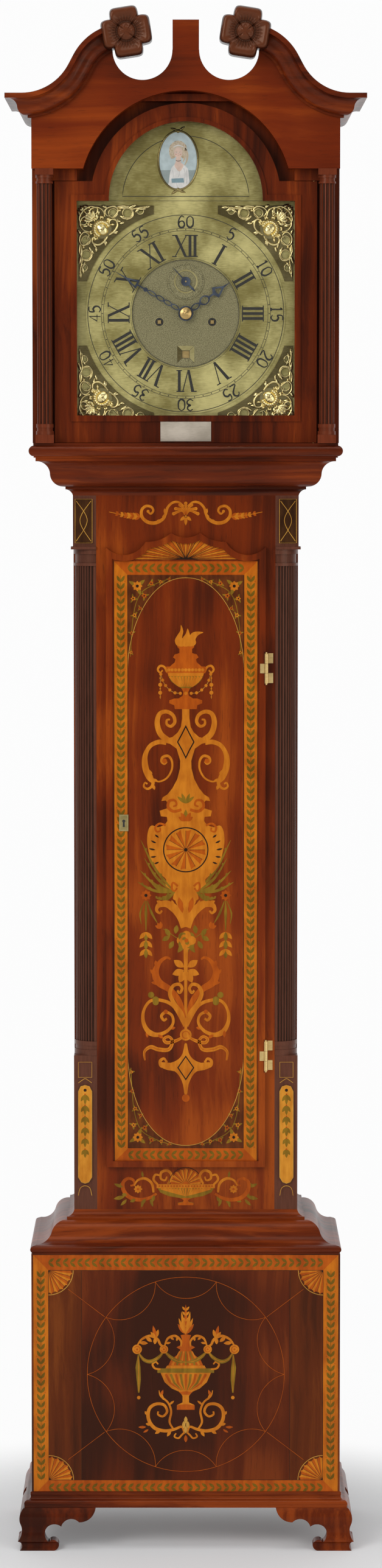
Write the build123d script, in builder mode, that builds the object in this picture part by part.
"""Longcase clock with a swan neck hood, an arched brass dial, and an eight day striking movement.

The origin is on the floor under the middle of the case. X runs to the right, Y to the back
and Z up. Every size is in millimetres. Depths are the Y places of front and back faces.
"""

from build123d import *

import math
import os

os.makedirs("parts", exist_ok=True)

# Base and feet
foot_height = 62.0
foot_bracket = 116.0
foot_swell = 23.0
foot_wood = 26.0
base_half = 224.0
base_front = -96.5
base_board = 18.0
base_top = 433.0
plinth_height = 22.0
plinth_out = 10.5

# Trunk
trunk_half = 163.0
trunk_front = -36.0
trunk_board = 18.0
trunk_bottom = 488.0
trunk_top = 1529.0
block_width = 33.5
lower_block_top = 714.5
upper_block_bottom = 1455.3
frame_wood = 16.0
throat_top = 1583.6
back_face = 136.0
back_board = 12.0
column_half_open = 129.5
quarter_radius = 29.5

# Trunk door
door_half = 115.5
door_bottom = 551.6
door_shoulder = 1455.0
door_lip = 9.0
door_lip_cover = 10.5
door_lip_gap = 0.3
door_play = 1.0
door_heel = 26.0
door_front = -42.0
door_back = -28.0
door_bead = 3.5
door_pin_x = 116.5
door_pin_y = -46.3
knuckle_radius = 2.9
knuckle_length = 43.0
hinge_heights = (715.0, 1279.7)
pin_play = 0.05
keyhole_x = -89.9
keyhole_z = 1055.6
bolt_throw = 7.0

# Hood
hood_half = 219.5
hood_front = -93.5
hood_side = 22.0
hood_side_play = 1.0
hood_floor = 1604.4
hood_torus = 6.5
hood_shelf = 55.0
tympanum_wood = 24.0
tympanum_bottom = 1993.5
tympanum_arch = 152.0
arch_drop = 3.3
hood_ceiling = 2090.0
roof_wood = 10.0
cornice_bottom = 2064.3
cornice_width = 33.0
cornice_out = 36.5
neck_start = 232.0
neck_low_radius = 108.0
neck_rise = 62.0
neck_straight = 15.0
neck_high_radius = 50.0
neck_return = 42.0
rosette_x = 84.0
rosette_rise = 231.5
rosette_radius = 37.0
rosette_body = 32.0
rosette_gap = 0.3
rosette_carving = 5.7
scoop_x = 61.5
scoop_drop = 22.5
scoop_radius = 42.5
plinth_half = 18.75
plinth_rise = 19.7
mask_wood = 2.5
mask_front = -45.5

# Hood columns
column_x = 201.5
column_y = -82.5
column_radius = 10.8
column_block = 26.0
column_base_top = 1631.6
column_neck = 1972.5
flute_count = 12
flute_radius = 2.0

# Hood door
sash_half = 187.5
sash_bottom = 1605.0
sash_shoulder = 1977.0
sash_arch = 136.0
sash_front = -68.0
sash_back = -46.0
sash_bead = 8.7
sash_bead_height = 2.5
sash_pin_x = 183.5
sash_pin_y = -64.0
sash_pin_radius = 2.0
sash_pin_length = 10.0
glass_half = 155.8
glass_bottom = 1643.9
glass_shoulder = 1949.0
glass_arch = 110.0
glass_thickness = 2.0
glass_front = -58.0
glass_rebate = 5.0
plaque_width = 72.5
plaque_height = 28.0
plaque_z = 1621.0
plaque_thickness = 1.2

# Dial
dial_z = 1789.8
dial_half = 165.0
arch_height = dial_z + dial_half - arch_drop
rosette_z = arch_height + rosette_rise
scoop_z = rosette_z - scoop_drop
plinth_top = rosette_z + plinth_rise
dial_arch = 117.0
dial_front = -41.0
dial_thickness = 2.5
chapter_outer = 143.5
chapter_inner = 78.0
chapter_thickness = 1.5
seconds_z = 45.8
seconds_outer = 26.0
seconds_inner = 17.0
winding_hole = 5.3
date_window_z = -58.3
date_window_width = 22.0
date_window_height = 18.4
date_outer = 69.0
date_inner = 49.0
date_thickness = 1.0
spandrel_edge = 154.0
spandrel_reach = 108.0
spandrel_thickness = 3.0
medallion_x = -11.0
medallion_z = 2008.0
medallion_half_width = 29.3
medallion_half_height = 42.5
medallion_thickness = 2.5

# Movement plates, measured from the dial centre
plate_left = -68.0
plate_right = 68.0
plate_low = -62.0
plate_high = 92.0
plate_thickness = 3.0
front_plate = -8.0
back_plate = 55.0
pillar_radius = 5.0
pillar_places = ((-54, -54), (0, -54), (54, -54), (54, 50), (-12, 86))
dial_foot_places = ((-62, -54), (62, -54), (-62, 80), (62, 80))
arbor_radius = 1.2
arbor_play = 0.05

# Wheel centres from the dial centre
centre_arbor = (0.0, 0.0)
going_arbor = (38.0, -12.0)
strike_arbor = (-38.0, -12.0)
third_arbor = (14.36, 25.08)
escape_arbor = (0.0, 45.8)
pallet_arbor = (0.0, 73.8)
pin_arbor = (-36.0, 28.0)
gather_arbor = (-30.0, 54.3)
warning_arbor = (-45.0, 70.4)
fly_arbor = (-31.5, 81.6)
minute_arbor = (-20.0, -20.72)
hammer_arbor = (-63.0, 8.0)

# Teeth and leaves
tooth_above = 0.85
tooth_below = 1.45
great_thickness = 3.0
going_teeth = 96
centre_leaves = 8
centre_teeth = 60
third_leaves = 8
third_teeth = 56
escape_leaves = 7
escape_teeth = 30
motion_teeth = 36
minute_leaves = 6
hour_teeth = 72
strike_teeth = 84
pin_leaves = 8
pin_teeth = 64
gather_leaves = 8
gather_teeth = 56
warning_leaves = 7
warning_teeth = 48
fly_leaves = 6

# Arbors, pipes and escapement
great_arbor = 3.0
winding_square = 5.0
cannon_pipe = 2.0
hour_pipe = 3.2
stud_radius = 0.7
minute_hub = 1.35
hour_wheel_front = -17.0
escape_radius = 20.0
escape_root = 17.0
escape_front = 20.0
crutch_length = 114.0
cock_back = 80.0
spring_above = 1.9
pin_circle = 17.0
pin_count = 8
pin_end = 46.0
fly_reach = 12.0
hammer_tail = 14.5
bell_x_at_hammer = -51.3

# Barrels, lines, pulleys and weights
barrel_radius = 22.0
barrel_flange = 26.0
barrel_front = 4.0
barrel_back = 40.0
axle_radius = 2.0
line_radius = 0.8
line_depth = 22.0
pulley_radius = 22.8
pulley_rim = 26.0
pulley_thickness = 8.0
pulley_drop = 66.0
weight_radius = 28.5
weight_length = 190.0
weight_travel = 1080.0
stirrup_strap = 2.5

# Pendulum
rod_depth = 85.0
rod_radius = 1.6
bob_radius = 70.0
bob_half_thickness = 15.0
pendulum_length = 1010.0
nut_radius = 9.0
spring_width = 12.0
spring_thickness = 0.4

# Seatboard and bell
seat_thickness = 22.0
seat_front = -12.0
seat_back = 66.0
bell_radius = 52.0
bell_height = 36.0
bell_wall = 2.2
bell_z = 100.0
bell_y = 56.5

# Hands
hand_thickness = 0.8
minute_hand_front = -49.5
hour_hand_front = -46.0
seconds_hand_front = -44.5
minute_hand_angle = 149.5
minute_hand_length = 120.0
hour_hand_angle = 35.0
hour_hand_length = 79.0
seconds_hand_angle = 133.0
seconds_hand_length = 28.0


def write(piece, label):
    """Names a finished piece and writes it."""
    piece.part.label = label
    export_step(piece.part, f"parts/{label}.step")


def write_set(pieces, label):
    """Writes several separate solids of one kind under one name."""
    solids = [solid for piece in pieces for solid in piece.part.solids()]
    export_step(Compound(label=label, children=solids), f"parts/{label}.step")


def facing(depth, x=0.0, z=0.0):
    """A drawing plane that looks to the front: right is X, up is Z, and it extrudes forward."""
    return Plane(origin=(x, depth, z), x_dir=(1, 0, 0), z_dir=(0, -1, 0))


def wave(start, end, sag):
    """An ogee: two equal arcs that bend opposite ways and meet halfway."""
    middle = ((start[0] + end[0]) / 2, (start[1] + end[1]) / 2)
    SagittaArc(start, middle, sag)
    SagittaArc(middle, end, -sag)


def board(x_range, y_range, z_range):
    """Adds a rectangular board between two corners to the part that is being built."""
    (x0, x1), (y0, y1), (z0, z1) = x_range, y_range, z_range
    with Locations(((x0 + x1) / 2, (y0 + y1) / 2, (z0 + z1) / 2)):
        Box(x1 - x0, y1 - y0, z1 - z0)


def rod(x, z, front, back, radius, mode=Mode.ADD):
    """Adds a round bar that lies along Y."""
    with BuildSketch(facing(back, x, z)) as disc:
        Circle(radius)
    extrude(disc.sketch, amount=back - front, mode=mode)


def round_three_sides(half, front, height, draw):
    """Sweeps a moulding up one side, across the front and down the other side, with mitres."""
    with BuildPart() as run:
        with BuildLine() as path:
            Polyline(
                (-half, back_face, height),
                (-half, front, height),
                (half, front, height),
                (half, back_face, height),
            )
        profile_plane = Plane(
            origin=(-half, back_face, height), x_dir=(-1, 0, 0), z_dir=(0, 1, 0)
        )
        with BuildSketch(profile_plane):
            with BuildLine():
                draw()
            make_face()
        sweep(path=path.line, transition=Transition.RIGHT)
    return run


# Bracket feet
foot_half = base_half + foot_swell
foot_front = base_front - foot_swell


def foot_profile():
    """The ogee of a foot from the inside out, above a toe."""
    Polyline((-foot_wood, 0), (-6, 0))
    RadiusArc((-6, 0), (-3, 14), 8)
    wave((-3, 14), (-11, foot_height), 3.5)
    Polyline((-11, foot_height), (-foot_wood, foot_height), (-foot_wood, 0))


def bracket_outline(corner):
    """Half of the scalloped cut under one face, from a foot's toe to the end of its bracket."""
    inner = corner + foot_bracket
    toe = (corner + 55, 0)
    notch = (corner + 48, 13)
    cusp = (corner + 66, 35)
    scallop = (corner + 92, 42)
    end = (inner, foot_height)
    Line((inner + 1, -1), (toe[0], -1))
    Line((toe[0], -1), toe)
    ThreePointArc(toe, (corner + 62.5, 7), notch)
    ThreePointArc(notch, (corner + 42, 26), cusp)
    ThreePointArc(cusp, (corner + 79, 47), scallop)
    ThreePointArc(scallop, (corner + 107, 47), end)
    Polyline(end, (inner + 1, foot_height), (inner + 1, -1))


with BuildPart() as bracket_feet:
    front_end = (-foot_half, foot_front + foot_bracket, 0)
    with BuildLine() as foot_path:
        Polyline(
            front_end,
            (-foot_half, foot_front, 0),
            (-foot_half + foot_bracket, foot_front, 0),
        )
    with BuildSketch(Plane(origin=front_end, x_dir=(-1, 0, 0), z_dir=(0, 1, 0))):
        with BuildLine():
            foot_profile()
        make_face()
    sweep(path=foot_path.line, transition=Transition.RIGHT)
    back_end = (-foot_half, back_face, 0)
    with BuildSketch(Plane(origin=back_end, x_dir=(-1, 0, 0), z_dir=(0, 1, 0))):
        with BuildLine():
            foot_profile()
        make_face()
    extrude(amount=-foot_bracket)
    with BuildSketch(facing(foot_front + foot_wood + 1)):
        with BuildLine():
            bracket_outline(-foot_half)
        make_face()
    extrude(amount=foot_wood + 2, mode=Mode.SUBTRACT)
    for face_y, flip in ((foot_front, 1), (back_face, -1)):
        side_face = Plane(
            origin=(-foot_half - 1, 0, 0), x_dir=(0, flip, 0), z_dir=(flip, 0, 0)
        )
        with BuildSketch(side_face):
            with BuildLine():
                bracket_outline(flip * face_y)
            make_face()
        extrude(amount=flip * (foot_wood + 2), mode=Mode.SUBTRACT)
    mirror(about=Plane.YZ)
write(bracket_feet, "bracket_feet")


# Base
with BuildPart() as base_carcass:
    floor_low = foot_height + 4
    floor_high = floor_low + base_board
    board_back = base_front + base_board
    inner_half = base_half - base_board
    board((-base_half, base_half), (base_front, board_back), (foot_height, base_top))
    board((-base_half, -inner_half), (board_back, back_face), (foot_height, base_top))
    board((inner_half, base_half), (board_back, back_face), (foot_height, base_top))
    back_inside = back_face - back_board
    board((-inner_half, inner_half), (board_back, back_inside), (floor_low, floor_high))
write(base_carcass, "base_carcass")


def plinth_profile():
    """Fillet, ogee and a small bead, read from the floor up."""
    Polyline((0, 0), (plinth_out, 0), (plinth_out, 4))
    wave((plinth_out, 4), (2, 17), -2.2)
    Polyline((2, 17), (2, plinth_height - 1), (0, plinth_height), (0, 0))


def base_moulding_profile():
    """Torus, fillet, a broad ogee, a fillet and a small cove up to the trunk."""
    out = base_half - trunk_half
    top = trunk_bottom - base_top
    Polyline((0, 0), (out - 1.5, 0), (out - 1.5, 2))
    ThreePointArc((out - 1.5, 2), (out + 1.5, 7), (out - 3, 11.5))
    Line((out - 3, 11.5), (out - 7, 12.5))
    wave((out - 7, 12.5), (10.5, top - 13), 5)
    Polyline((10.5, top - 13), (10.5, top - 9), (8.5, top - 9))
    ThreePointArc((8.5, top - 9), (3, top - 6), (0, top))
    Line((0, top), (0, 0))


def throat_profile():
    """Cavetto, fillet and ogee that carry the hood."""
    top = throat_top - trunk_top
    ThreePointArc((0, 0), (3.5, 6), (10.4, 9))
    Polyline((10.4, 9), (10.4, 12.5), (14, 13))
    wave((14, 13), (50, top - 5), -5)
    Polyline((50, top - 5), (52, top - 5), (52, top), (0, top), (0, 0))


plinth_moulding = round_three_sides(base_half, base_front, foot_height, plinth_profile)
base_moulding = round_three_sides(trunk_half, trunk_front, base_top, base_moulding_profile)
throat_moulding = round_three_sides(trunk_half, trunk_front, trunk_top, throat_profile)
write_set((plinth_moulding, base_moulding, throat_moulding), "case_mouldings")

# Backboard: base, trunk and hood widths
hood_inside = hood_half - hood_side
with BuildPart() as backboard:
    depth = (back_face - back_board, back_face)
    board((-base_half + base_board, base_half - base_board), depth, (floor_low, base_top))
    board((-trunk_half, trunk_half), depth, (base_top, hood_floor))
    hood_back_half = hood_inside - hood_side_play
    board((-hood_back_half, hood_back_half), depth, (hood_floor, hood_ceiling - 5))
write(backboard, "backboard")

# Trunk
column_back = trunk_front + block_width - 1
seat_top = dial_z + plate_low
seat_bottom = seat_top - seat_thickness
with BuildPart() as trunk_sides:
    side_depth = (column_back, back_face - back_board)
    for side in (-1, 1):
        edges = sorted((side * (trunk_half - trunk_board), side * trunk_half))
        board(edges, side_depth, (floor_high, seat_bottom))
write(trunk_sides, "trunk_sides")


def door_shape(depth, inset):
    """The trunk door from the front, square at the foot, with a head of five hollows."""
    corner = (-door_half, door_shoulder)
    outer_cusp = (-58, door_shoulder + 7.5)
    inner_cusp = (-21, door_shoulder + 20.3)
    crown = (0, door_shoulder + 13.7)
    with BuildSketch(facing(depth)) as shape:
        with BuildLine():
            Polyline((0, door_bottom), (-door_half, door_bottom), corner)
            ThreePointArc(corner, (-90, door_shoulder - 11.5), outer_cusp)
            ThreePointArc(outer_cusp, (-39, door_shoulder + 10), inner_cusp)
            ThreePointArc(inner_cusp, (-11, door_shoulder + 15.3), crown)
            Line(crown, (0, door_bottom))
        make_face()
        mirror(about=Plane.YZ)
        if inset:
            offset(amount=-inset, kind=Kind.INTERSECTION, mode=Mode.REPLACE)
    return shape.sketch


with BuildPart() as trunk_front_frame:
    frame_back = trunk_front + frame_wood
    opening = door_shape(frame_back, door_lip_cover - door_play)
    stile_inner = door_half - door_lip_cover + door_play
    rail_top = door_bottom + door_lip_cover - door_play
    frame_depth = (trunk_front, frame_back)
    for side in (-1, 1):
        edges = sorted((side * stile_inner, side * column_half_open))
        board(edges, frame_depth, (base_top, throat_top))
    board((-stile_inner, stile_inner), frame_depth, (base_top, rail_top))
    board((-stile_inner, stile_inner), frame_depth, (door_shoulder - 40, throat_top))
    extrude(opening, amount=frame_wood, mode=Mode.SUBTRACT)
write(trunk_front_frame, "trunk_front_frame")

with BuildPart() as trunk_door:
    lip_back = trunk_front - door_lip_gap
    extrude(door_shape(lip_back, 0), amount=lip_back - door_front)
    extrude(door_shape(door_back, door_lip_cover), amount=door_back - lip_back)
    extrude(door_shape(door_front, 0), amount=door_bead)
    extrude(door_shape(door_front, door_lip), amount=door_bead, mode=Mode.SUBTRACT)
    # The head's corners are cut flat behind the lip, so that they clear the frame as the door swings
    heel_x = door_half - door_lip_cover - door_heel / 2
    heel_low = door_shoulder - 11.5 - door_lip_cover
    with Locations(*((side * heel_x, (lip_back + door_back) / 2, heel_low + 10) for side in (-1, 1))):
        Box(door_heel, door_back - lip_back, 20, mode=Mode.SUBTRACT)
    for height in hinge_heights:
        reach = knuckle_length / 2 + 3
        with BuildSketch(Plane.XY.offset(height - reach)):
            with Locations((door_pin_x, door_pin_y)):
                Circle(knuckle_radius + 0.4)
        extrude(amount=2 * reach, mode=Mode.SUBTRACT)
write(trunk_door, "trunk_door")


def barrel_between(low, high, radius, mode=Mode.ADD):
    """A knuckle of the trunk door's hinges."""
    with BuildSketch(Plane.XY.offset(low)) as disc:
        with Locations((door_pin_x, door_pin_y)):
            Circle(radius)
    extrude(disc.sketch, amount=high - low, mode=mode)


# Butt hinges: the case holds the outer knuckles and the pin, the door holds the middle one
with BuildPart() as case_hinge_knuckles:
    third = knuckle_length / 3
    for height in hinge_heights:
        low, high = height - knuckle_length / 2, height + knuckle_length / 2
        barrel_between(low - 2, high + 2, knuckle_radius / 2)
        for z0, z1 in ((low, low + third), (high - third, high)):
            barrel_between(z0, z1, knuckle_radius)
            board((door_pin_x, door_pin_x + 10), (trunk_front - 1.2, trunk_front), (z0, z1))
            board((door_pin_x + 1.2, door_pin_x + 2.6), (door_pin_y, trunk_front), (z0, z1))
write(case_hinge_knuckles, "case_hinge_knuckles")

with BuildPart() as door_hinge_knuckles:
    for height in hinge_heights:
        low = height - third / 2 + 0.3
        high = height + third / 2 - 0.3
        barrel_between(low, high, knuckle_radius)
        strap_x = (door_half - door_lip + 1, door_pin_x - 0.8)
        face = door_front - door_bead
        board(strap_x, (face - 1, face), (low, high))
        barrel_between(low, high, knuckle_radius / 2 + pin_play, Mode.SUBTRACT)
write(door_hinge_knuckles, "door_hinge_knuckles")

with BuildPart() as door_lock:
    with BuildSketch(facing(door_front, keyhole_x, keyhole_z)):
        Ellipse(6.0, 12.0)
        with Locations((0, 2)):
            Circle(1.9, mode=Mode.SUBTRACT)
        with Locations((0, -2)):
            Rectangle(1.6, 6, mode=Mode.SUBTRACT)
    extrude(amount=1.0)
    body_half = door_half - door_lip_cover
    lock_x = (-body_half + 1, -body_half + 46)
    board(lock_x, (door_back, frame_back + 8), (keyhole_z - 30, keyhole_z + 30))
    bolt_slot = (-body_half + 1, -body_half + 21)
    slot_y = (frame_back + 0.2, frame_back + 5.8)
    slot_z = (keyhole_z - 8.2, keyhole_z + 8.2)
    with Locations(
        (sum(bolt_slot) / 2, sum(slot_y) / 2, sum(slot_z) / 2)
    ):
        Box(20, slot_y[1] - slot_y[0], slot_z[1] - slot_z[0], mode=Mode.SUBTRACT)
write(door_lock, "door_lock")

with BuildPart() as lock_bolt:
    bolt_x = (-body_half + 0.5, -body_half + 20.5)
    board(bolt_x, (frame_back + 0.5, frame_back + 5.5), (keyhole_z - 8, keyhole_z + 8))
write(lock_bolt, "lock_bolt")


# Quarter columns at the trunk's front corners, with their blocks, caps and bases
def ringed_quarter(rings):
    """Adds square-cornered quarter turned rings, each given as bottom, top and radius."""
    for low, high, radius in rings:
        with BuildSketch(Plane.XY.offset(low)) as ring:
            with Locations((-column_half_open - 3, column_back - 3)):
                Circle(radius)
            quarter_window()
        extrude(ring.sketch, amount=high - low)


def quarter_window():
    """Keeps only the quarter that shows at the corner."""
    reach = block_width + 4
    centre = (-column_half_open - reach / 2, column_back - reach / 2)
    with Locations(centre):
        Rectangle(reach, reach, mode=Mode.INTERSECT)


flute_pitch = 8.8
with BuildPart() as quarter_columns:
    corner_x = (-trunk_half, -column_half_open)
    corner_y = (trunk_front, column_back)
    board(corner_x, corner_y, (base_top, lower_block_top))
    board(corner_x, corner_y, (upper_block_bottom, throat_top))
    base_ring = lower_block_top
    ringed_quarter(
        (
            (base_ring, base_ring + 8, quarter_radius + 0.8),
            (base_ring + 8, base_ring + 14, quarter_radius - 0.5),
            (base_ring + 14, base_ring + 20.5, quarter_radius + 0.3),
        )
    )
    shaft_low = lower_block_top + 20.5
    shaft_high = upper_block_bottom - 28
    with BuildSketch(Plane.XY.offset(shaft_low)):
        with Locations((-column_half_open - 3, column_back - 3)):
            Circle(quarter_radius - 1)
            with PolarLocations(
                quarter_radius - 1, 10, start_angle=185.4, angular_range=79.2, endpoint=True
            ):
                Circle(1.6, mode=Mode.SUBTRACT)
        quarter_window()
    extrude(amount=shaft_high - shaft_low)
    ringed_quarter(
        (
            (shaft_high, shaft_high + 4, quarter_radius + 0.3),
            (shaft_high + 4, shaft_high + 17, quarter_radius - 1.5),
            (shaft_high + 17, shaft_high + 24, quarter_radius + 0.6),
        )
    )
    board(
        (-trunk_half - 3, -column_half_open),
        (trunk_front - 3, column_back),
        (shaft_high + 24, upper_block_bottom),
    )
    mirror(about=Plane.YZ)
write(quarter_columns, "quarter_columns")

# Seatboard that carries the movement, with slots for the lines
pulley_reach = pulley_radius
fall_left = -barrel_radius - line_radius
fall_right = fall_left + 2 * pulley_reach
with BuildPart() as seatboard:
    board((-trunk_half, trunk_half), (seat_front, seat_back), (seat_bottom, seat_top))
    for arbor_x in (going_arbor[0], strike_arbor[0]):
        with BuildSketch(Plane.XY.offset(seat_bottom)):
            with Locations((arbor_x + fall_left, line_depth)):
                Rectangle(8, 34)
            with Locations((arbor_x + fall_right, line_depth)):
                Circle(line_radius + 0.5)
        extrude(amount=seat_thickness, mode=Mode.SUBTRACT)
write(seatboard, "seatboard")


# Hood
def hood_base_profile():
    """Fillet, torus and top fillet, with a flat shelf inside for the hood's feet."""
    rise = hood_floor - throat_top
    Polyline((2, 0), (hood_shelf - 0.5, 0), (hood_shelf - 0.5, 2))
    ThreePointArc(
        (hood_shelf - 0.5, 2), (hood_shelf + hood_torus, rise * 0.46), (hood_shelf, rise - 3.5)
    )
    Polyline((hood_shelf, rise - 3.5), (hood_shelf, rise), (2, rise), (2, 0))


hood_base_run = round_three_sides(trunk_half, trunk_front, throat_top, hood_base_profile)
with BuildPart() as hood_base_moulding:
    add(hood_base_run.part)
    with BuildSketch(Plane.XY.offset(hood_floor - sash_pin_length)):
        with Locations((sash_pin_x, sash_pin_y)):
            Circle(sash_pin_radius + pin_play)
    extrude(amount=sash_pin_length, mode=Mode.SUBTRACT)
write(hood_base_moulding, "hood_base_moulding")


def arched(half, low, shoulder, radius):
    """Adds a square with a half round arch on top, as the dial and its door have."""
    with Locations((0, (low + shoulder) / 2)):
        Rectangle(2 * half, shoulder - low)
    with Locations((0, arch_height)):
        Circle(radius)


def arched_plate(depth, half, low, shoulder, radius, thickness, mode=Mode.ADD):
    """Adds or cuts a plate with a break arch head."""
    with BuildSketch(facing(depth)) as shape:
        arched(half, low, shoulder, radius)
    extrude(shape.sketch, amount=thickness, mode=mode)


side_front = column_y + column_block / 2
mask_back = mask_front + mask_wood
with BuildPart() as hood_carcass:
    lintel_front = hood_front + tympanum_wood
    lintel_bottom = sash_shoulder + 0.7
    roof_top = hood_ceiling + roof_wood
    post_back = mask_back + 12
    arched_plate(mask_back, hood_inside, hood_floor, lintel_bottom, sash_arch, mask_wood)
    arched_plate(
        mask_back,
        glass_half + 3,
        glass_bottom - 8,
        glass_shoulder + 2,
        glass_arch + 3,
        mask_wood,
        Mode.SUBTRACT,
    )
    for side in (-1, 1):
        edges = sorted((side * hood_inside, side * hood_half))
        board(edges, (side_front, back_face), (hood_floor, roof_top))
        post = sorted((side * (hood_inside - 20), side * hood_inside))
        rail = sorted((side * (tympanum_arch + 3), side * hood_inside))
        board(rail, (lintel_front, post_back), (lintel_bottom, tympanum_bottom + 12))
        board(post, (mask_back, post_back), (hood_floor, lintel_bottom))
    board((-hood_inside, hood_inside), (lintel_front, back_face), (hood_ceiling, roof_top))
    with BuildSketch(Plane.XY.offset(lintel_bottom)):
        with Locations((sash_pin_x, sash_pin_y)):
            Circle(sash_pin_radius + pin_play)
    extrude(amount=sash_pin_length, mode=Mode.SUBTRACT)
write(hood_carcass, "hood_carcass")

# Tympanum board and the swan neck that runs over it
neck_turn_z = cornice_bottom + neck_low_radius
inner_turn = neck_low_radius - cornice_width
rise_sin = math.sin(math.radians(neck_rise))
rise_cos = math.cos(math.radians(neck_rise))
low_end = (
    -neck_start + neck_low_radius * rise_sin,
    neck_turn_z - neck_low_radius * rise_cos,
)
high_start = (low_end[0] + neck_straight * rise_cos, low_end[1] + neck_straight * rise_sin)
high_centre = (
    high_start[0] + neck_high_radius * rise_sin,
    high_start[1] - neck_high_radius * rise_cos,
)


def at_neck(centre, radius, degrees):
    """A point on one of the neck's arcs, by its angle above level."""
    turn = math.radians(degrees)
    return (centre[0] + radius * math.cos(turn), centre[1] + radius * math.sin(turn))


low_centre = (-neck_start, neck_turn_z)
high_outer = neck_high_radius + cornice_width
corner_turn = -90 + math.degrees(math.asin((neck_start - hood_half) / inner_turn))
with BuildPart() as tympanum_board:
    board_back = hood_front + tympanum_wood
    with BuildSketch(facing(board_back)):
        with BuildLine():
            neck_foot = at_neck(low_centre, inner_turn, corner_turn)
            neck_bend = at_neck(low_centre, inner_turn, neck_rise - 90)
            neck_top = at_neck(high_centre, high_outer, 90 + neck_rise)
            neck_end = at_neck(high_centre, high_outer, 90 + neck_rise - neck_return)
            Polyline((0, tympanum_bottom), (-hood_half, tympanum_bottom), neck_foot)
            middle_low = at_neck(
                low_centre, inner_turn, (corner_turn + neck_rise - 90) / 2
            )
            ThreePointArc(neck_foot, middle_low, neck_bend)
            Line(neck_bend, neck_top)
            middle_high = at_neck(
                high_centre, high_outer, 90 + neck_rise - neck_return / 2
            )
            ThreePointArc(neck_top, middle_high, neck_end)
            Polyline(
                neck_end,
                (-rosette_x, rosette_z),
                (-scoop_x, scoop_z),
                (-plinth_half, scoop_z),
                (-plinth_half, plinth_top),
                (0, plinth_top),
                (0, tympanum_bottom),
            )
        make_face()
        with Locations((-rosette_x, rosette_z)):
            Circle(rosette_radius - 6)
        with Locations((-scoop_x, scoop_z)):
            Circle(scoop_radius, mode=Mode.SUBTRACT)
        mirror(about=Plane.YZ)
        with Locations((0, arch_height)):
            Circle(tympanum_arch, mode=Mode.SUBTRACT)
    extrude(amount=tympanum_wood)
write(tympanum_board, "tympanum_board")


def cornice_profile():
    """Bottom bead, broad ogee and top fillet; X is outward and Y is up."""
    Polyline((0, 0), (5, 0), (5, 3.5))
    wave((5, 3.5), (cornice_out - 3, cornice_width - 7), -4)
    Polyline(
        (cornice_out - 3, cornice_width - 7),
        (cornice_out, cornice_width - 7),
        (cornice_out, cornice_width),
        (0, cornice_width),
        (0, 0),
    )


mitre = Plane(
    origin=(-hood_half, hood_front, cornice_bottom), x_dir=(0, 0, 1), z_dir=(1, -1, 0)
)
with BuildPart() as swan_necks:
    far_left = (-hood_half - cornice_out - 5, hood_front, cornice_bottom)
    with BuildLine(facing(hood_front)) as neck_path:
        Polyline((far_left[0], cornice_bottom), (-neck_start, cornice_bottom))
        bend = at_neck(low_centre, neck_low_radius, (neck_rise - 180) / 2)
        ThreePointArc((-neck_start, cornice_bottom), bend, low_end)
        Line(low_end, high_start)
        crest = at_neck(high_centre, neck_high_radius, 90 + neck_rise - neck_return / 2)
        finish = at_neck(high_centre, neck_high_radius, 90 + neck_rise - neck_return)
        ThreePointArc(high_start, crest, finish)
    with BuildSketch(Plane(origin=far_left, x_dir=(0, -1, 0), z_dir=(-1, 0, 0))):
        with BuildLine():
            cornice_profile()
        make_face()
    sweep(path=neck_path.line)
    split(bisect_by=mitre, keep=Keep.TOP)
    with BuildSketch(facing(hood_front, -rosette_x, rosette_z)):
        Circle(rosette_body + rosette_gap)
    extrude(amount=cornice_out + 1, mode=Mode.SUBTRACT)
    mirror(about=Plane.YZ)

with BuildPart() as side_cornices:
    with BuildSketch(
        Plane(origin=(-hood_half, back_face, cornice_bottom), x_dir=(-1, 0, 0), z_dir=(0, 1, 0))
    ):
        with BuildLine():
            cornice_profile()
        make_face()
    extrude(amount=-(back_face - hood_front + cornice_out + 5))
    split(bisect_by=mitre, keep=Keep.BOTTOM)
    mirror(about=Plane.YZ)
write_set((swan_necks, side_cornices), "cornice_mouldings")

carving_back = hood_front - cornice_out - rosette_gap
with BuildPart() as rosettes:
    with BuildSketch(facing(hood_front, -rosette_x, rosette_z)):
        Circle(rosette_body)
    extrude(amount=hood_front - carving_back)
    with BuildSketch(facing(carving_back, -rosette_x, rosette_z)):
        with PolarLocations(rosette_radius * 0.52, 4, start_angle=35):
            Circle(rosette_radius * 0.48)
        Circle(rosette_radius * 0.6)
    extrude(amount=rosette_carving - 1)
    with BuildSketch(facing(carving_back - rosette_carving + 1, -rosette_x, rosette_z)):
        Circle(rosette_radius * 0.5)
    extrude(amount=-3, mode=Mode.SUBTRACT)
    with BuildSketch(facing(carving_back, -rosette_x, rosette_z)):
        Circle(rosette_radius * 0.37)
    extrude(amount=rosette_carving, taper=35)
    mirror(about=Plane.YZ)
write(rosettes, "rosettes")


def collar(low, high, radius):
    """A turned ring on a column of the hood."""
    with Locations((-column_x, column_y, (low + high) / 2)):
        Cylinder(radius, high - low)


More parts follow.
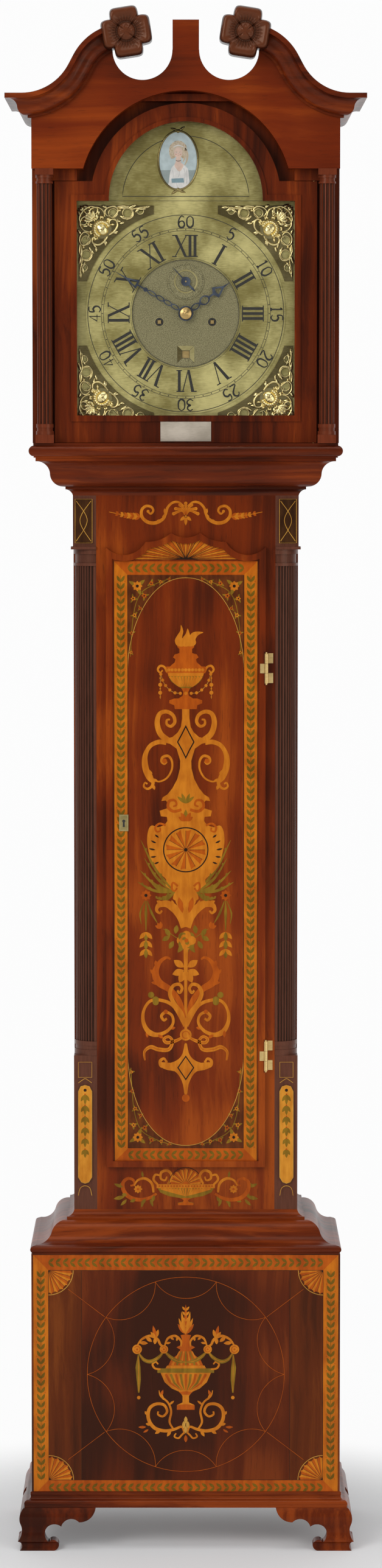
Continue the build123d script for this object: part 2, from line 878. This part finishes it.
with BuildPart() as hood_columns:
    block_top = hood_floor + 12
    cap_block = tympanum_bottom - 9
    block_x = (-column_x - column_block / 2, -column_x + column_block / 2)
    block_y = (column_y - column_block / 2, column_y + column_block / 2)
    board(block_x, block_y, (hood_floor, block_top))
    collar(block_top, block_top + 5, column_block / 2 - 0.2)
    collar(block_top + 5, block_top + 10, column_radius + 0.6)
    collar(block_top + 10, column_base_top, column_radius + 1.5)
    with BuildSketch(Plane.XY.offset(column_base_top)):
        with Locations((-column_x, column_y)):
            Circle(column_radius)
            with PolarLocations(column_radius, flute_count):
                Circle(flute_radius, mode=Mode.SUBTRACT)
    extrude(amount=column_neck - column_base_top)
    collar(column_neck, column_neck + 3, column_radius + 1.5)
    collar(column_neck + 3, column_neck + 8, column_radius + 0.2)
    collar(column_neck + 8, cap_block, column_block / 2 - 0.5)
    board(block_x, block_y, (cap_block, tympanum_bottom))
    mirror(about=Plane.YZ)
write(hood_columns, "hood_columns")

# Hood door
with BuildPart() as hood_door_frame:
    arched_plate(
        sash_back, sash_half, sash_bottom, sash_shoulder, sash_arch, sash_back - sash_front
    )
    arched_plate(
        sash_back,
        glass_half,
        glass_bottom,
        glass_shoulder,
        glass_arch,
        sash_back - sash_front,
        Mode.SUBTRACT,
    )
    arched_plate(
        sash_back,
        glass_half + glass_rebate,
        glass_bottom - glass_rebate,
        glass_shoulder + glass_rebate,
        glass_arch + glass_rebate,
        sash_back - glass_front,
        Mode.SUBTRACT,
    )
    for low in (sash_bottom, sash_shoulder - sash_pin_length):
        with BuildSketch(Plane.XY.offset(low)):
            with Locations((sash_pin_x, sash_pin_y)):
                Circle(sash_pin_radius)
        extrude(amount=sash_pin_length, mode=Mode.SUBTRACT)
    arched_plate(
        sash_front,
        glass_half + sash_bead,
        glass_bottom - sash_bead,
        glass_shoulder + sash_bead,
        glass_arch + sash_bead * 0.7,
        sash_bead_height,
    )
    arched_plate(
        sash_front,
        glass_half,
        glass_bottom,
        glass_shoulder,
        glass_arch,
        sash_bead_height,
        Mode.SUBTRACT,
    )
write(hood_door_frame, "hood_door_frame")

with BuildPart() as hood_door_glass:
    arched_plate(
        glass_front + glass_thickness,
        glass_half + glass_rebate - 0.5,
        glass_bottom - glass_rebate + 0.5,
        glass_shoulder + glass_rebate - 0.5,
        glass_arch + glass_rebate - 0.5,
        glass_thickness,
    )
write(hood_door_glass, "hood_door_glass")

with BuildPart() as hood_door_pins:
    pin_lows = (sash_bottom - sash_pin_length / 2, sash_shoulder - sash_pin_length)
    for low in pin_lows:
        with BuildSketch(Plane.XY.offset(low)):
            with Locations((sash_pin_x, sash_pin_y)):
                Circle(sash_pin_radius)
        extrude(amount=1.5 * sash_pin_length)
write(hood_door_pins, "hood_door_pins")

with BuildPart() as plaque:
    with BuildSketch(facing(sash_front, 0, plaque_z)):
        Rectangle(plaque_width, plaque_height)
    extrude(amount=plaque_thickness)
    with BuildSketch(facing(sash_front - plaque_thickness, 0, plaque_z)):
        with GridLocations(plaque_width - 6, plaque_height - 6, 2, 2):
            Circle(1.2)
    extrude(amount=0.6)
write(plaque, "plaque")

# Dial
dial_back = dial_front + dial_thickness
with BuildPart() as dial_plate:
    dial_low, dial_high = dial_z - dial_half, dial_z + dial_half
    arched_plate(dial_back, dial_half, dial_low, dial_high, dial_arch, dial_thickness)
    with BuildSketch(facing(dial_back, 0, dial_z)):
        for arbor in (going_arbor, strike_arbor):
            with Locations(arbor):
                Circle(winding_hole)
        with Locations(escape_arbor):
            Circle(arbor_radius + 0.5)
        with Locations((0, date_window_z)):
            Rectangle(date_window_width, date_window_height)
        Circle(hour_pipe + 0.5)
    extrude(amount=dial_thickness, mode=Mode.SUBTRACT)
write(dial_plate, "dial_plate")

with BuildPart() as dial_rings:
    with BuildSketch(facing(dial_front, 0, dial_z)):
        Circle(chapter_outer)
        Circle(chapter_inner, mode=Mode.SUBTRACT)
        with Locations((0, seconds_z)):
            Circle(seconds_outer)
            Circle(seconds_inner, mode=Mode.SUBTRACT)
    extrude(amount=chapter_thickness)
write(dial_rings, "dial_rings")

with BuildPart() as spandrels:
    spandrel_inner = spandrel_edge - spandrel_reach
    spandrel_middle = (spandrel_edge + spandrel_inner) / 2
    openings = ((0.18, 0.93, 4.5), (0.35, 0.9, 6.5), (0.54, 0.9, 6.0))
    mask_at = spandrel_inner + 0.69 * spandrel_reach
    with BuildSketch(facing(dial_front, 0, dial_z)):
        with Locations((spandrel_middle, spandrel_middle)):
            Rectangle(spandrel_reach, spandrel_reach)
        Circle(chapter_outer + 5.5, mode=Mode.SUBTRACT)
        for along, across, radius in openings:
            first = spandrel_inner + along * spandrel_reach
            second = spandrel_inner + across * spandrel_reach
            with Locations((first, second), (second, first)):
                Circle(radius, mode=Mode.SUBTRACT)
        mirror(about=Plane.YZ)
        mirror(about=Plane.XZ)
    extrude(amount=spandrel_thickness - 1)
    with BuildSketch(facing(dial_front - spandrel_thickness + 1, 0, dial_z)):
        with GridLocations(2 * mask_at, 2 * mask_at, 2, 2):
            Circle(14)
    extrude(amount=1)
write(spandrels, "spandrels")

with BuildPart() as arch_medallion:
    with BuildSketch(facing(dial_front, medallion_x, medallion_z)):
        Ellipse(medallion_half_width, medallion_half_height)
    extrude(amount=medallion_thickness)
write(arch_medallion, "arch_medallion")

with BuildPart() as date_ring:
    with BuildSketch(facing(dial_back + 0.3 + date_thickness, 0, dial_z)):
        Circle(date_outer)
        Circle(date_inner, mode=Mode.SUBTRACT)
    extrude(amount=date_thickness)
write(date_ring, "date_ring")

# Movement plates, with the back cock, and the pillars and dial feet that hold them
plate_mid_z = dial_z + (plate_low + plate_high) / 2
plain_arbors = (
    centre_arbor,
    third_arbor,
    escape_arbor,
    pallet_arbor,
    pin_arbor,
    gather_arbor,
    warning_arbor,
    fly_arbor,
    hammer_arbor,
)
plate_back = back_plate + plate_thickness
with BuildPart() as movement_plates:
    for front in (front_plate, back_plate):
        with BuildSketch(facing(front + plate_thickness, 0, plate_mid_z)):
            Rectangle(plate_right - plate_left, plate_high - plate_low)
        extrude(amount=plate_thickness)
    pallet_z = dial_z + pallet_arbor[1]
    for side in (-1, 1):
        leg = sorted((side * 16, side * 22))
        board(leg, (plate_back, cock_back), (pallet_z - 5, pallet_z + 8))
    board((-22, 22), (cock_back - 4, cock_back), (pallet_z - 5, pallet_z + 10))
    board((-6, 6), (cock_back, cock_back + 12), (pallet_z + spring_above + 0.3, pallet_z + 10))
    for arbor in plain_arbors:
        bore = arbor_radius + arbor_play
        rod(arbor[0], dial_z + arbor[1], front_plate, cock_back, bore, Mode.SUBTRACT)
    for arbor in (going_arbor, strike_arbor):
        bore = great_arbor + arbor_play
        rod(arbor[0], dial_z + arbor[1], front_plate, plate_back, bore, Mode.SUBTRACT)
    stud_z = dial_z + minute_arbor[1]
    rod(minute_arbor[0], stud_z, hour_wheel_front - 1, front_plate, stud_radius)
write(movement_plates, "movement_plates")

with BuildPart() as pillars_and_dial_feet:
    for x, z in pillar_places:
        rod(x, dial_z + z, front_plate + plate_thickness, back_plate, pillar_radius)
    for x, z in dial_foot_places:
        rod(x, dial_z + z, dial_back, front_plate, pillar_radius / 2)
write(pillars_and_dial_feet, "pillars_and_dial_feet")


def module_of(first, second, teeth):
    """The tooth size that makes two wheels with this many teeth together just meet."""
    return 2 * math.dist(first, second) / teeth


def toothed(centre, mate, teeth, module, front, back, gap=False):
    """Adds a toothed wheel; a tooth, or a gap, lies on the line to its mate's arbor."""
    pitch = math.tau / teeth
    start = math.atan2(mate[1] - centre[1], mate[0] - centre[0])
    if gap:
        start += pitch / 2
    tip = module * (teeth / 2 + tooth_above)
    root = module * (teeth / 2 - tooth_below)
    points = []
    for tooth in range(teeth):
        turn = start + tooth * pitch
        points.append((tip * math.cos(turn), tip * math.sin(turn)))
        turn += pitch / 2
        points.append((root * math.cos(turn), root * math.sin(turn)))
    with BuildSketch(facing(back, centre[0], dial_z + centre[1])) as outline:
        with BuildLine():
            Polyline(*points, close=True)
        make_face()
    extrude(outline.sketch, amount=back - front)


def arbor_between(centre, front, back, radius, mode=Mode.ADD):
    """Adds or cuts a round arbor at one of the wheel centres."""
    rod(centre[0], dial_z + centre[1], front, back, radius, mode)


def great_wheel(centre, mate, teeth, leaves, front):
    """A great wheel that turns freely on its barrel's arbor."""
    module = module_of(centre, mate, teeth + leaves)
    with BuildPart() as wheel:
        toothed(centre, mate, teeth, module, front, front + great_thickness)
        bore = great_arbor + arbor_play
        arbor_between(centre, front, front + great_thickness, bore, Mode.SUBTRACT)
    return wheel


def barrel_on(centre):
    """A grooveless barrel with flanges, its arbor and the square for the winding key."""
    with BuildPart() as barrel:
        arbor_between(centre, barrel_front, barrel_back, barrel_radius)
        arbor_between(centre, barrel_front, barrel_front + 2, barrel_flange)
        arbor_between(centre, barrel_back - 2, barrel_back, barrel_flange)
        arbor_between(centre, front_plate, plate_back, great_arbor)
        with BuildSketch(facing(front_plate, centre[0], dial_z + centre[1])):
            Rectangle(winding_square, winding_square)
        extrude(amount=front_plate - dial_front - 1)
    return barrel


def train_arbor(centre, wheel, pinion):
    """An arbor between the plates with a wheel and a pinion.

    Wheel and pinion are given as mate, teeth, the mate's teeth, front and back.
    """
    arbor_between(centre, front_plate, plate_back, arbor_radius)
    for drawn, gap in ((wheel, False), (pinion, True)):
        if drawn:
            mate, teeth, mate_teeth, front, back = drawn
            module = module_of(centre, mate, teeth + mate_teeth)
            toothed(centre, mate, teeth, module, front, back, gap)


# Going train
great_front = barrel_front - great_thickness - 1
going_great_wheel = great_wheel(
    going_arbor, centre_arbor, going_teeth, centre_leaves, great_front
)
write(going_great_wheel, "going_great_wheel")
write(barrel_on(going_arbor), "going_barrel")

with BuildPart() as centre_wheel:
    train_arbor(
        centre_arbor,
        (third_arbor, centre_teeth, third_leaves, 44.5, 46.5),
        (going_arbor, centre_leaves, going_teeth, great_front - 0.9, great_front + 3.8),
    )
    arbor_between(centre_arbor, minute_hand_front, front_plate, cannon_pipe)
    motion_module = module_of(centre_arbor, minute_arbor, 2 * motion_teeth)
    toothed(centre_arbor, minute_arbor, motion_teeth, motion_module, -12, -10)
write(centre_wheel, "centre_wheel")

with BuildPart() as third_wheel:
    train_arbor(
        third_arbor,
        (escape_arbor, third_teeth, escape_leaves, 50, 51.5),
        (centre_arbor, third_leaves, centre_teeth, 44, 47),
    )
write(third_wheel, "third_wheel")

with BuildPart() as escape_wheel:
    train_arbor(
        escape_arbor, None, (third_arbor, escape_leaves, third_teeth, 49, 53)
    )
    arbor_between(escape_arbor, seconds_hand_front, front_plate, arbor_radius)
    with BuildSketch(facing(escape_front + 1.5, 0, dial_z + escape_arbor[1])):
        with BuildLine():
            crown_points = []
            for tooth in range(escape_teeth):
                turn = math.tau * tooth / escape_teeth
                after = turn + math.tau * 0.35 / escape_teeth
                crown_points.append(
                    (escape_radius * math.cos(turn), escape_radius * math.sin(turn))
                )
                crown_points.append(
                    (escape_root * math.cos(after), escape_root * math.sin(after))
                )
            Polyline(*crown_points, close=True)
        make_face()
    extrude(amount=1.5)
write(escape_wheel, "escape_wheel")

# Anchor: pallets over the escape wheel, and the crutch that holds the pendulum rod
with BuildPart() as anchor:
    arbor_between(pallet_arbor, front_plate, cock_back - 0.1, arbor_radius)
    with BuildSketch(facing(escape_front + 1.5, 0, pallet_z)):
        with BuildLine():
            Polyline(
                (0, 4.5),
                (-9, 0.5),
                (-18.5, -11),
                (-16.6, -13.4),
                (-7.5, -4.5),
                (0, -3),
                (0, 4.5),
            )
        make_face()
        mirror(about=Plane.YZ)
    extrude(amount=1.5)
    crutch_y = (plate_back + 2, plate_back + 4)
    crutch_low = pallet_z - crutch_length
    board((-1.5, 1.5), crutch_y, (crutch_low, pallet_z + 3))
    fork_inner = rod_radius + 0.3
    board((-fork_inner - 1.6, fork_inner + 1.6), crutch_y, (crutch_low, crutch_low + 5))
    for side in (-1, 1):
        tine = sorted((side * fork_inner, side * (fork_inner + 1.6)))
        board(tine, (crutch_y[1], rod_depth + 3), (crutch_low, crutch_low + 5))
write(anchor, "anchor")


def pointing(depth, centre, degrees):
    """A drawing plane for a hand: its X runs out along the hand from an arbor."""
    turn = math.radians(degrees)
    origin = (centre[0], depth, dial_z + centre[1])
    return Plane(origin=origin, x_dir=(math.cos(turn), 0, math.sin(turn)), z_dir=(0, -1, 0))


# Hands
minute_hand_back = minute_hand_front + hand_thickness
hour_hand_back = hour_hand_front + hand_thickness
with BuildPart() as minute_hand:
    with BuildSketch(pointing(minute_hand_back, centre_arbor, minute_hand_angle)):
        Circle(10.7)
        for middle, reach, swell in ((18, 8, 3.6), (30, 8, 3.6), (42.5, 8, 3.6), (56.5, 9, 3.3)):
            for inset, mode in ((0, Mode.ADD), (1.3, Mode.SUBTRACT)):
                start, end = (middle - reach + 2 * inset, 0), (middle + reach - 2 * inset, 0)
                with BuildLine():
                    ThreePointArc(start, (middle, swell - inset), end)
                    ThreePointArc(end, (middle, inset - swell), start)
                make_face(mode=mode)
        with Locations((36, 0)):
            Circle(1.5)
        with Locations((67, 0)):
            Circle(3.2)
        with BuildLine():
            Polyline(
                (64, 0.9), (80, 1.2), (80, 6.5), (99, 1.1), (minute_hand_length, 0)
            )
            Polyline(
                (minute_hand_length, 0), (99, -1.1), (80, -6.5), (80, -1.2), (64, -0.9)
            )
            Line((64, -0.9), (64, 0.9))
        make_face()
        with BuildLine():
            Polyline((83, 1.6), (83, 3.2), (93, 0.8), (93, -0.8), (83, -3.2), (83, -1.6), (83, 1.6))
        make_face(mode=Mode.SUBTRACT)
        Circle(cannon_pipe + arbor_play, mode=Mode.SUBTRACT)
    extrude(amount=hand_thickness)
    with BuildSketch(pointing(minute_hand_front, centre_arbor, 0)):
        Circle(6.7)
    extrude(amount=1.6)
write(minute_hand, "minute_hand")

with BuildPart() as hour_hand:
    with BuildSketch(pointing(hour_hand_back, centre_arbor, hour_hand_angle)):
        Circle(9)
        for middle, reach, swell in ((17, 9, 4.5), (33, 9, 6.5)):
            for inset, mode in ((0, Mode.ADD), (1.6, Mode.SUBTRACT)):
                start, end = (middle - reach + 2 * inset, 0), (middle + reach - 2 * inset, 0)
                with BuildLine():
                    ThreePointArc(start, (middle, swell - inset), end)
                    ThreePointArc(end, (middle, inset - swell), start)
                make_face(mode=mode)
        with BuildLine():
            Polyline((40, 1.2), (48, 1.4), (52, 9), (66, 1.4), (hour_hand_length, 0))
            Polyline((hour_hand_length, 0), (66, -1.4), (52, -9), (48, -1.4), (40, -1.2))
            Line((40, -1.2), (40, 1.2))
        make_face()
        with BuildLine():
            Polyline((53, 1), (54.5, 4.6), (62, 1), (62, -1), (54.5, -4.6), (53, -1), (53, 1))
        make_face(mode=Mode.SUBTRACT)
        Circle(hour_pipe + arbor_play, mode=Mode.SUBTRACT)
    extrude(amount=hand_thickness)
write(hour_hand, "hour_hand")

with BuildPart() as seconds_hand:
    seconds_back = seconds_hand_front + hand_thickness
    with BuildSketch(pointing(seconds_back, escape_arbor, seconds_hand_angle)):
        Circle(6.7)
        with BuildLine():
            Polyline((0, 0.9), (22, 0.5), (seconds_hand_length, 0), (22, -0.5), (0, -0.9))
            Polyline((0, -0.9), (-15, -1.6), (-20, 0), (-15, 1.6), (0, 0.9))
        make_face()
        Circle(arbor_radius + arbor_play, mode=Mode.SUBTRACT)
    extrude(amount=hand_thickness)
write(seconds_hand, "seconds_hand")

# Motion work behind the dial
hour_module = module_of(minute_arbor, centre_arbor, minute_leaves + hour_teeth)
with BuildPart() as minute_wheel:
    toothed(minute_arbor, centre_arbor, motion_teeth, motion_module, -12, -10, True)
    arbor_between(minute_arbor, hour_wheel_front, -10, minute_hub)
    toothed(
        minute_arbor,
        centre_arbor,
        minute_leaves,
        hour_module,
        hour_wheel_front,
        hour_wheel_front + 2,
    )
    arbor_between(minute_arbor, hour_wheel_front, -10, stud_radius + arbor_play, Mode.SUBTRACT)
write(minute_wheel, "minute_wheel")

with BuildPart() as hour_wheel:
    toothed(
        centre_arbor,
        minute_arbor,
        hour_teeth,
        hour_module,
        hour_wheel_front,
        hour_wheel_front + 2,
        True,
    )
    arbor_between(centre_arbor, hour_hand_front - 0.3, hour_wheel_front + 2, hour_pipe)
    hour_bore = cannon_pipe + arbor_play
    arbor_between(
        centre_arbor, hour_hand_front - 0.3, hour_wheel_front + 2, hour_bore, Mode.SUBTRACT
    )
write(hour_wheel, "hour_wheel")

# Striking train
strike_front = great_front - great_thickness - 1.4
strike_great_wheel = great_wheel(
    strike_arbor, pin_arbor, strike_teeth, pin_leaves, strike_front
)
write(strike_great_wheel, "strike_great_wheel")
write(barrel_on(strike_arbor), "strike_barrel")

with BuildPart() as pin_wheel:
    train_arbor(
        pin_arbor,
        (gather_arbor, pin_teeth, gather_leaves, 41, 43),
        (strike_arbor, pin_leaves, strike_teeth, strike_front - 0.3, strike_front + 3.3),
    )
    with BuildSketch(facing(pin_end, pin_arbor[0], dial_z + pin_arbor[1])):
        with PolarLocations(pin_circle, pin_count, start_angle=15):
            Circle(1)
    extrude(amount=pin_end - 43)
write(pin_wheel, "pin_wheel")

with BuildPart() as gathering_wheel:
    train_arbor(
        gather_arbor,
        (warning_arbor, gather_teeth, warning_leaves, 30, 31.5),
        (pin_arbor, gather_leaves, pin_teeth, 40, 44),
    )
write(gathering_wheel, "gathering_wheel")

with BuildPart() as warning_wheel:
    train_arbor(
        warning_arbor,
        (fly_arbor, warning_teeth, fly_leaves, 36, 37.5),
        (gather_arbor, warning_leaves, gather_teeth, 29, 33),
    )
write(warning_wheel, "warning_wheel")

with BuildPart() as fly:
    train_arbor(fly_arbor, None, (warning_arbor, fly_leaves, warning_teeth, 35, 39))
    fly_z = dial_z + fly_arbor[1]
    vane_x = (fly_arbor[0] - fly_reach, fly_arbor[0] + fly_reach)
    board(vane_x, (8, 28.5), (fly_z - 0.4, fly_z + 0.4))
write(fly, "fly")

with BuildPart() as hammer:
    hammer_x = hammer_arbor[0]
    hammer_z = dial_z + hammer_arbor[1]
    head_z = dial_z + bell_z + 4
    arbor_between(hammer_arbor, front_plate, plate_back, arbor_radius)
    to_pins = math.degrees(
        math.atan2(pin_arbor[1] - hammer_arbor[1], pin_arbor[0] - hammer_arbor[0])
    )
    with BuildSketch(pointing(pin_end, hammer_arbor, to_pins)):
        with Locations((hammer_tail / 2, 0)):
            Rectangle(hammer_tail, 3)
        Circle(3)
    extrude(amount=2)
    with BuildSketch(Plane.XY.offset(hammer_z)):
        with Locations((hammer_x, pin_end + 1)):
            Circle(1)
    extrude(amount=head_z - hammer_z)
    arbor_between(hammer_arbor, pin_end - 1, pin_end + 3, 3)
    head_face = bell_x_at_hammer - 1
    with BuildSketch(Plane(origin=(hammer_x - 5, pin_end + 1, head_z), z_dir=(1, 0, 0))):
        Circle(4.5)
    extrude(amount=head_face - hammer_x + 5)
write(hammer, "hammer")

with BuildPart() as bell:
    mouth_z = dial_z + bell_z
    crown_z = mouth_z + bell_height
    bell_plane = Plane(origin=(0, bell_y, 0), x_dir=(1, 0, 0), z_dir=(0, -1, 0))
    with BuildSketch(bell_plane):
        with BuildLine():
            knee = (bell_radius * 0.82, mouth_z + bell_height * 0.62)
            inner_knee = (knee[0] - bell_wall, knee[1] - bell_wall)
            ThreePointArc((bell_radius, mouth_z), knee, (0, crown_z))
            Line((0, crown_z), (0, crown_z - bell_wall))
            ThreePointArc(
                (0, crown_z - bell_wall), inner_knee, (bell_radius - bell_wall, mouth_z)
            )
            Line((bell_radius - bell_wall, mouth_z), (bell_radius, mouth_z))
        make_face()
    revolve(axis=Axis((0, bell_y, 0), (0, 0, 1)))
    with BuildSketch(Plane.XY.offset(dial_z + plate_high)):
        with Locations((0, bell_y)):
            Circle(1.45)
    extrude(amount=crown_z + 5 - dial_z - plate_high)
    with BuildSketch(Plane.XY.offset(crown_z - 1)):
        with Locations((0, bell_y)):
            Circle(5)
    extrude(amount=5)
write(bell, "bell")

# Pendulum
bob_z = pallet_z - pendulum_length
with BuildPart() as pendulum_rod:
    board(
        (-spring_thickness / 2, spring_thickness / 2),
        (rod_depth - 4, rod_depth + 4),
        (pallet_z - 20, pallet_z + spring_above),
    )
    board((-3, 3), (rod_depth - 4, rod_depth + 4), (pallet_z - 30, pallet_z - 18))
    rod_low = bob_z - bob_radius - 30
    with BuildSketch(Plane.XY.offset(rod_low)):
        with Locations((0, rod_depth)):
            Circle(rod_radius)
    extrude(amount=pallet_z - 28 - rod_low)
write(pendulum_rod, "pendulum_rod")

with BuildPart() as pendulum_bob:
    lens_plane = Plane(origin=(0, rod_depth, bob_z), x_dir=(1, 0, 0), z_dir=(0, 0, 1))
    with BuildSketch(lens_plane):
        with BuildLine():
            Line((0, -bob_half_thickness), (3, -bob_half_thickness))
            ThreePointArc(
                (3, -bob_half_thickness), (bob_radius * 0.72, -7.5), (bob_radius, -1)
            )
            Line((bob_radius, -1), (bob_radius, 1))
            ThreePointArc(
                (bob_radius, 1), (bob_radius * 0.72, 7.5), (3, bob_half_thickness)
            )
            Polyline((3, bob_half_thickness), (0, bob_half_thickness), (0, -bob_half_thickness))
        make_face()
    revolve(axis=Axis((0, rod_depth, bob_z), (0, 1, 0)))
    with BuildSketch(Plane.XY.offset(bob_z - bob_radius - 1)):
        with Locations((0, rod_depth)):
            Circle(rod_radius + arbor_play)
    extrude(amount=2 * bob_radius + 2, mode=Mode.SUBTRACT)
write(pendulum_bob, "pendulum_bob")

with BuildPart() as rating_nut:
    with BuildSketch(Plane.XY.offset(bob_z - bob_radius - 8)):
        with Locations((0, rod_depth)):
            Circle(nut_radius)
            Circle(rod_radius + arbor_play, mode=Mode.SUBTRACT)
    extrude(amount=6)
write(rating_nut, "rating_nut")

# Weights with their stirrups, and the pulleys and lines that carry them
pulley_z = seat_bottom - pulley_drop
weight_top = pulley_z - pulley_rim - 14


def weight_under(arbor):
    """A cased weight, its hook and stirrup, and the bend of line under its pulley."""
    x = arbor[0]
    with BuildPart() as weight:
        with BuildSketch(Plane.XY.offset(weight_top - weight_length)):
            with Locations((x, line_depth)):
                Circle(weight_radius)
        extrude(amount=weight_length)
        with BuildSketch(Plane.XY.offset(weight_top)):
            with Locations((x, line_depth)):
                Circle(2)
        extrude(amount=8)
        inner = pulley_thickness / 2 + 0.5
        outer = inner + stirrup_strap
        bridge = pulley_z - pulley_rim - 6
        board((x - 4, x + 4), (line_depth - outer, line_depth + outer), (bridge - 3, bridge))
        for side in (-1, 1):
            strap = sorted((line_depth + side * inner, line_depth + side * outer))
            board((x - 4, x + 4), strap, (bridge - 3, pulley_z + 5))
        rod(x, pulley_z, line_depth - outer, line_depth + outer, axle_radius)
    with BuildPart() as bend:
        with BuildLine(facing(line_depth)) as under:
            left, right = (x - pulley_reach, pulley_z), (x + pulley_reach, pulley_z)
            ThreePointArc(left, (x, pulley_z - pulley_reach), right)
        start = Plane(origin=(left[0], line_depth, pulley_z), z_dir=(0, 0, -1))
        with BuildSketch(start):
            Circle(line_radius)
        sweep(path=under.line)
    with BuildPart() as whole:
        add(weight.part)
        add(bend.part)
    return whole


def pulley_under(arbor):
    """A grooved pulley on the stirrup's axle."""
    x = arbor[0]
    groove = pulley_reach - line_radius - 0.3
    front, back = line_depth - pulley_thickness / 2, line_depth + pulley_thickness / 2
    with BuildPart() as pulley:
        rod(x, pulley_z, front, back, groove)
        rod(x, pulley_z, front, front + 2.5, pulley_rim)
        rod(x, pulley_z, back - 2.5, back, pulley_rim)
        rod(x, pulley_z, front, back, axle_radius + arbor_play, Mode.SUBTRACT)
    return pulley


def upright_line(x, low, high):
    """A straight length of line."""
    with BuildSketch(Plane.XY.offset(low)) as section:
        with Locations((x, line_depth)):
            Circle(line_radius)
    extrude(section.sketch, amount=high - low)


def falls_under(arbor):
    """The two falls of a line between the seatboard and its pulley."""
    with BuildPart() as falls:
        for reach in (fall_left, fall_right):
            upright_line(arbor[0] + reach, pulley_z, seat_bottom)
    return falls


write(weight_under(going_arbor), "going_weight")
write(weight_under(strike_arbor), "strike_weight")
write(pulley_under(going_arbor), "going_pulley")
write(pulley_under(strike_arbor), "strike_pulley")
write(falls_under(going_arbor), "going_line")
write(falls_under(strike_arbor), "strike_line")

with BuildPart() as line_ends:
    for arbor in (going_arbor, strike_arbor):
        upright_line(arbor[0] + fall_left, seat_bottom, dial_z + arbor[1])
        upright_line(arbor[0] + fall_right, seat_bottom, seat_top + 1)
        with BuildSketch(Plane.XY.offset(seat_top)):
            with Locations((arbor[0] + fall_right, line_depth)):
                Circle(3)
        extrude(amount=2.5)
write(line_ends, "line_ends")
